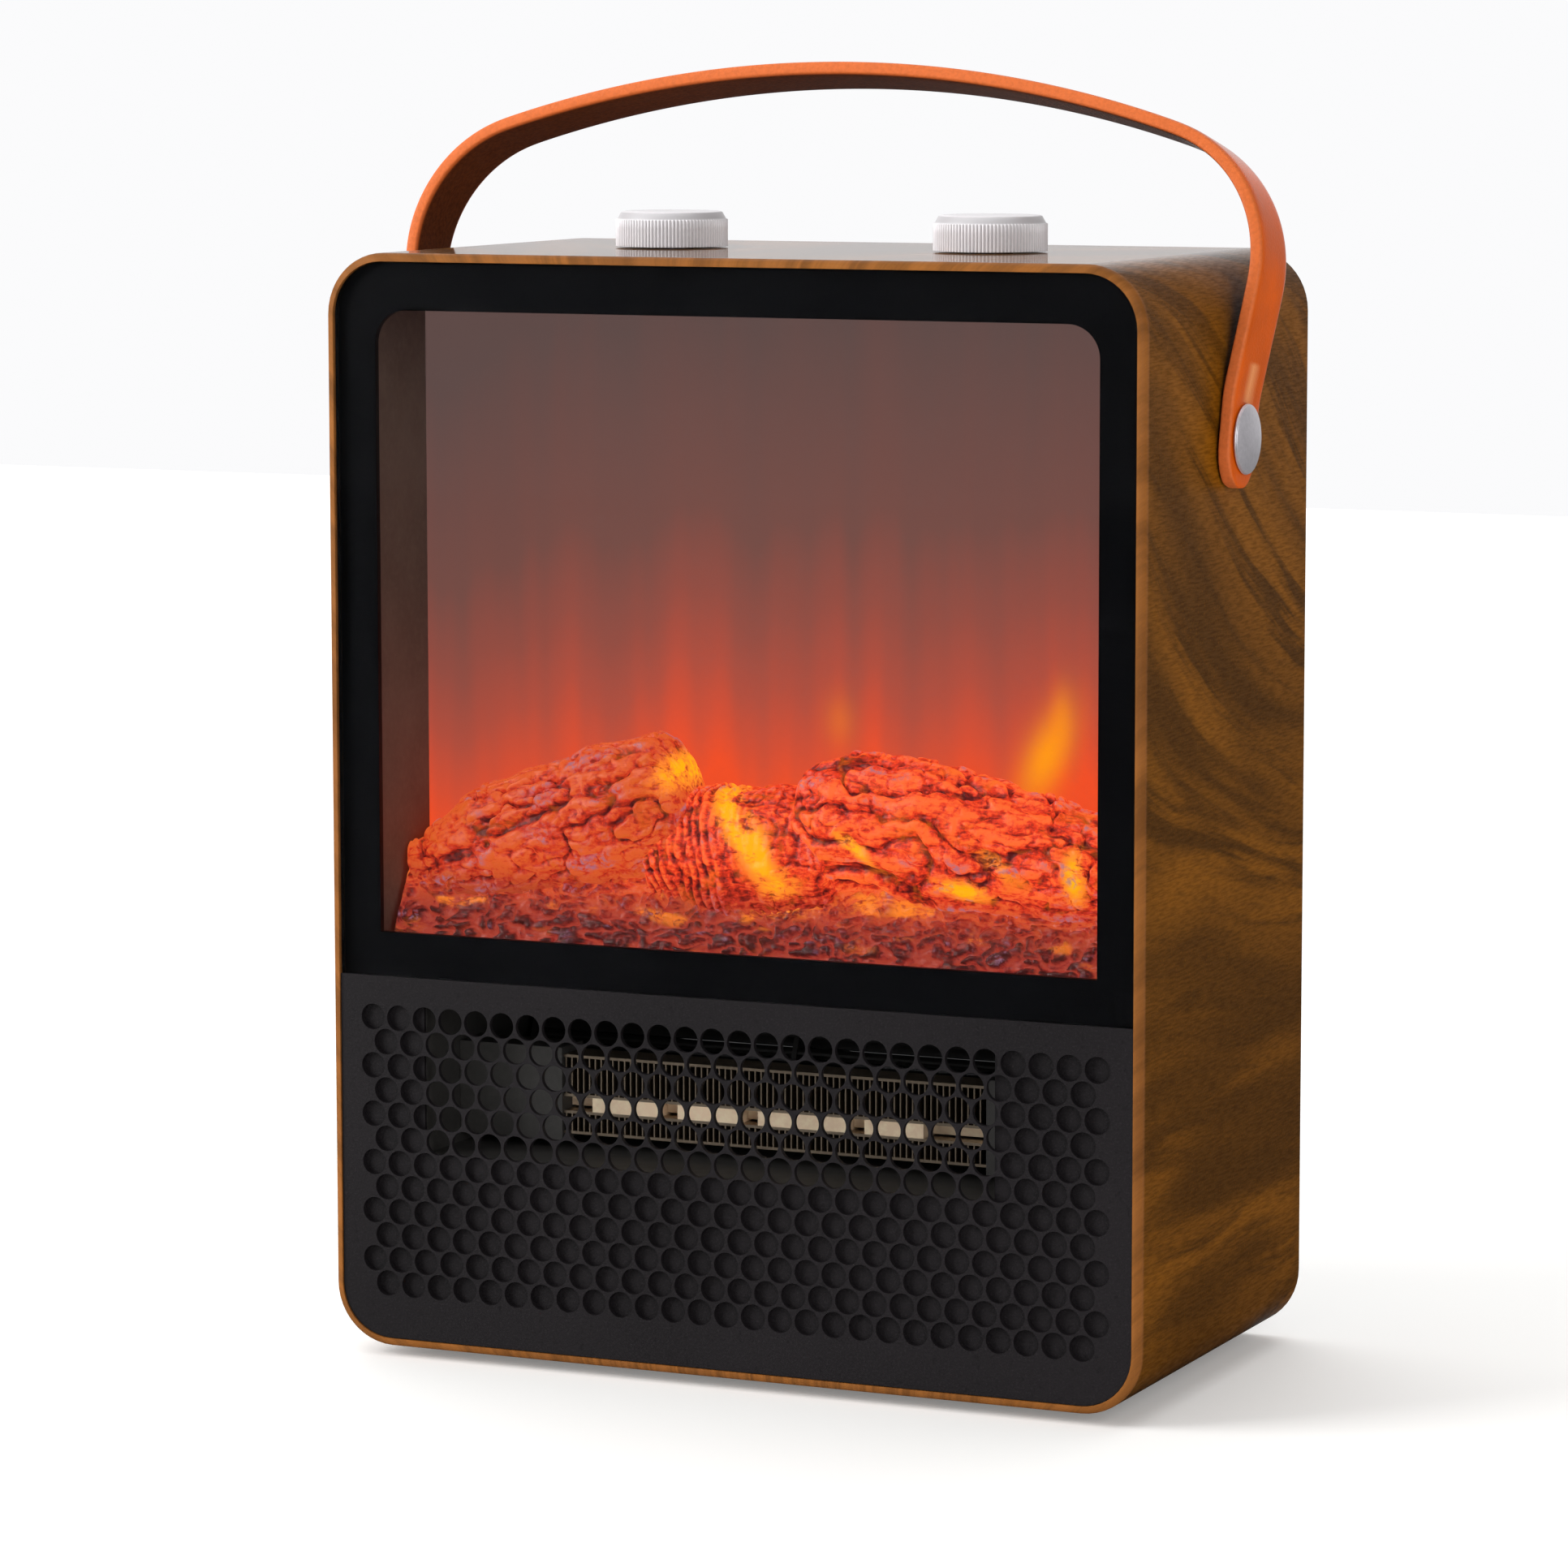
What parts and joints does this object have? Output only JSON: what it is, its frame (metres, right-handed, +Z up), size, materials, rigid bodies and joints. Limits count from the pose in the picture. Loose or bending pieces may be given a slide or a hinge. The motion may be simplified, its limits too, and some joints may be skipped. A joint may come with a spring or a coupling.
{
  "type": "ceramic space heater",
  "caption": "Portable fan heater with a wood-look case, a glass window over a glowing log bed, a perforated outlet grille, knurled top knobs and a riveted leather carrying strap.",
  "frame": {"origin": "on the floor under the middle of the case, at the bottom of the rubber feet", "axes": "+Z up, +Y to the back, +X to the right of someone facing the window"},
  "size_m": [0.2716, 0.133, 0.3776],
  "materials": {
    "walnut_wrap": "satin walnut-grain film on moulded plastic",
    "black_plastic": "matt black",
    "clear_glass": "polished, clear window with a black printed border",
    "charcoal_plastic": "fine-textured charcoal",
    "rubber_black": "matt",
    "steel_screw": "zinc plated",
    "frosted_screen": "translucent frosted, lit from behind",
    "log_resin": "translucent moulded logs, lit from below",
    "circuit_board": "printed circuit board",
    "lamp": "lit amber lamp",
    "mirror_vane": "bright foil vanes",
    "zinc_sheet": "galvanised sheet",
    "motor_can": "satin grey",
    "duct_plastic": "heat-resistant, matt",
    "ceramic_bar": "ceramic heating stones in an aluminium sleeve",
    "fin_aluminium": "bare",
    "ground_steel": "ground",
    "sintered_bronze": "matt",
    "stator_steel": "laminated",
    "copper_winding": "enamelled wire",
    "knob_silver": "satin, knurled",
    "tan_leather": "smooth tan leather with dark edges",
    "nickel_cap": "satin nickel",
    "switch_plastic": "red"
  },
  "bodies": {
    "case": {"back_cover": "black_plastic", "back_screws": "steel_screw", "blower_end_left": "duct_plastic", "blower_end_right": "duct_plastic", "blower_scroll": "duct_plastic", "board_parts": "duct_plastic", "board_posts": "black_plastic", "case_shell": "walnut_wrap", "control_board": "circuit_board", "control_nuts": "steel_screw", "cord_gland": "rubber_black", "core_ends": "duct_plastic", "divider_shelf": "black_plastic", "ember_board": "circuit_board", "ember_lamps": "lamp", "fan_bush": "sintered_bronze", "firebox_liner": "black_plastic", "flame_board": "circuit_board", "flame_lamps": "lamp", "flame_screen": "frosted_screen", "front_glass": "clear_glass", "front_grille": "charcoal_plastic", "heat_fins": "fin_aluminium", "heater_duct": "duct_plastic", "log_bed": "log_resin", "mode_selector": "duct_plastic", "motor_bracket_inner": "zinc_sheet", "motor_bracket_outer": "zinc_sheet", "motor_coil": "copper_winding", "motor_stator": "stator_steel", "ptc_core": "ceramic_bar", "rivet_left": "nickel_cap", "rivet_nuts": "steel_screw", "rivet_right": "nickel_cap", "rivet_washers": "steel_screw", "rotor_bracket_left": "zinc_sheet", "rotor_bracket_right": "zinc_sheet", "rotor_motor": "motor_can", "rubber_feet": "rubber_black", "screw_posts": "black_plastic", "thermal_cutout": "duct_plastic", "thermostat": "duct_plastic", "tip_spring": "steel_screw", "tip_switch": "duct_plastic", "vortex_tongue": "duct_plastic", "window_bezel": "black_plastic"},
    "left_knob": {"knob_left": "knob_silver", "thermostat_stem": "ground_steel"},
    "right_knob": {"knob_right": "knob_silver", "selector_stem": "ground_steel"},
    "handle": {"strap_handle": "tan_leather"},
    "fan": {"fan_wheel": "duct_plastic", "fan_shaft": "ground_steel", "motor_rotor": "ground_steel"},
    "flame_spindle": {"flame_rotor": "mirror_vane"},
    "tip_pin": {"tip_plunger": "switch_plastic"}
  },
  "joints": [
    {"name": "thermostat_turn", "type": "hinge", "parent": "case", "child": "left_knob", "pos_m": [-0.0506, 0.007, 0.323], "axis": [0, 0, -1], "range_deg": [0, 270]},
    {"name": "selector_turn", "type": "hinge", "parent": "case", "child": "right_knob", "pos_m": [0.0506, 0.007, 0.323], "axis": [0, 0, -1], "range_deg": [-45, 90]},
    {"name": "handle_swing", "type": "hinge", "parent": "case", "child": "handle", "pos_m": [0, 0, 0.2718], "axis": [1, 0, 0], "range_deg": [-26, 52]},
    {"name": "fan_spin", "type": "hinge", "parent": "case", "child": "fan", "pos_m": [0, 0.018, 0.081], "axis": [1, 0, 0], "continuous": true},
    {"name": "flame_spin", "type": "hinge", "parent": "case", "child": "flame_spindle", "pos_m": [0, -0.006, 0.13], "axis": [1, 0, 0], "continuous": true},
    {"name": "tip_slide", "type": "slide", "parent": "case", "child": "tip_pin", "axis": [0, 0, -1], "range_m": [-0.002, 0.004], "stiffness_N_per_m": 100, "springref_m": 0.008, "deforming": ["tip_spring"]}
  ]
}
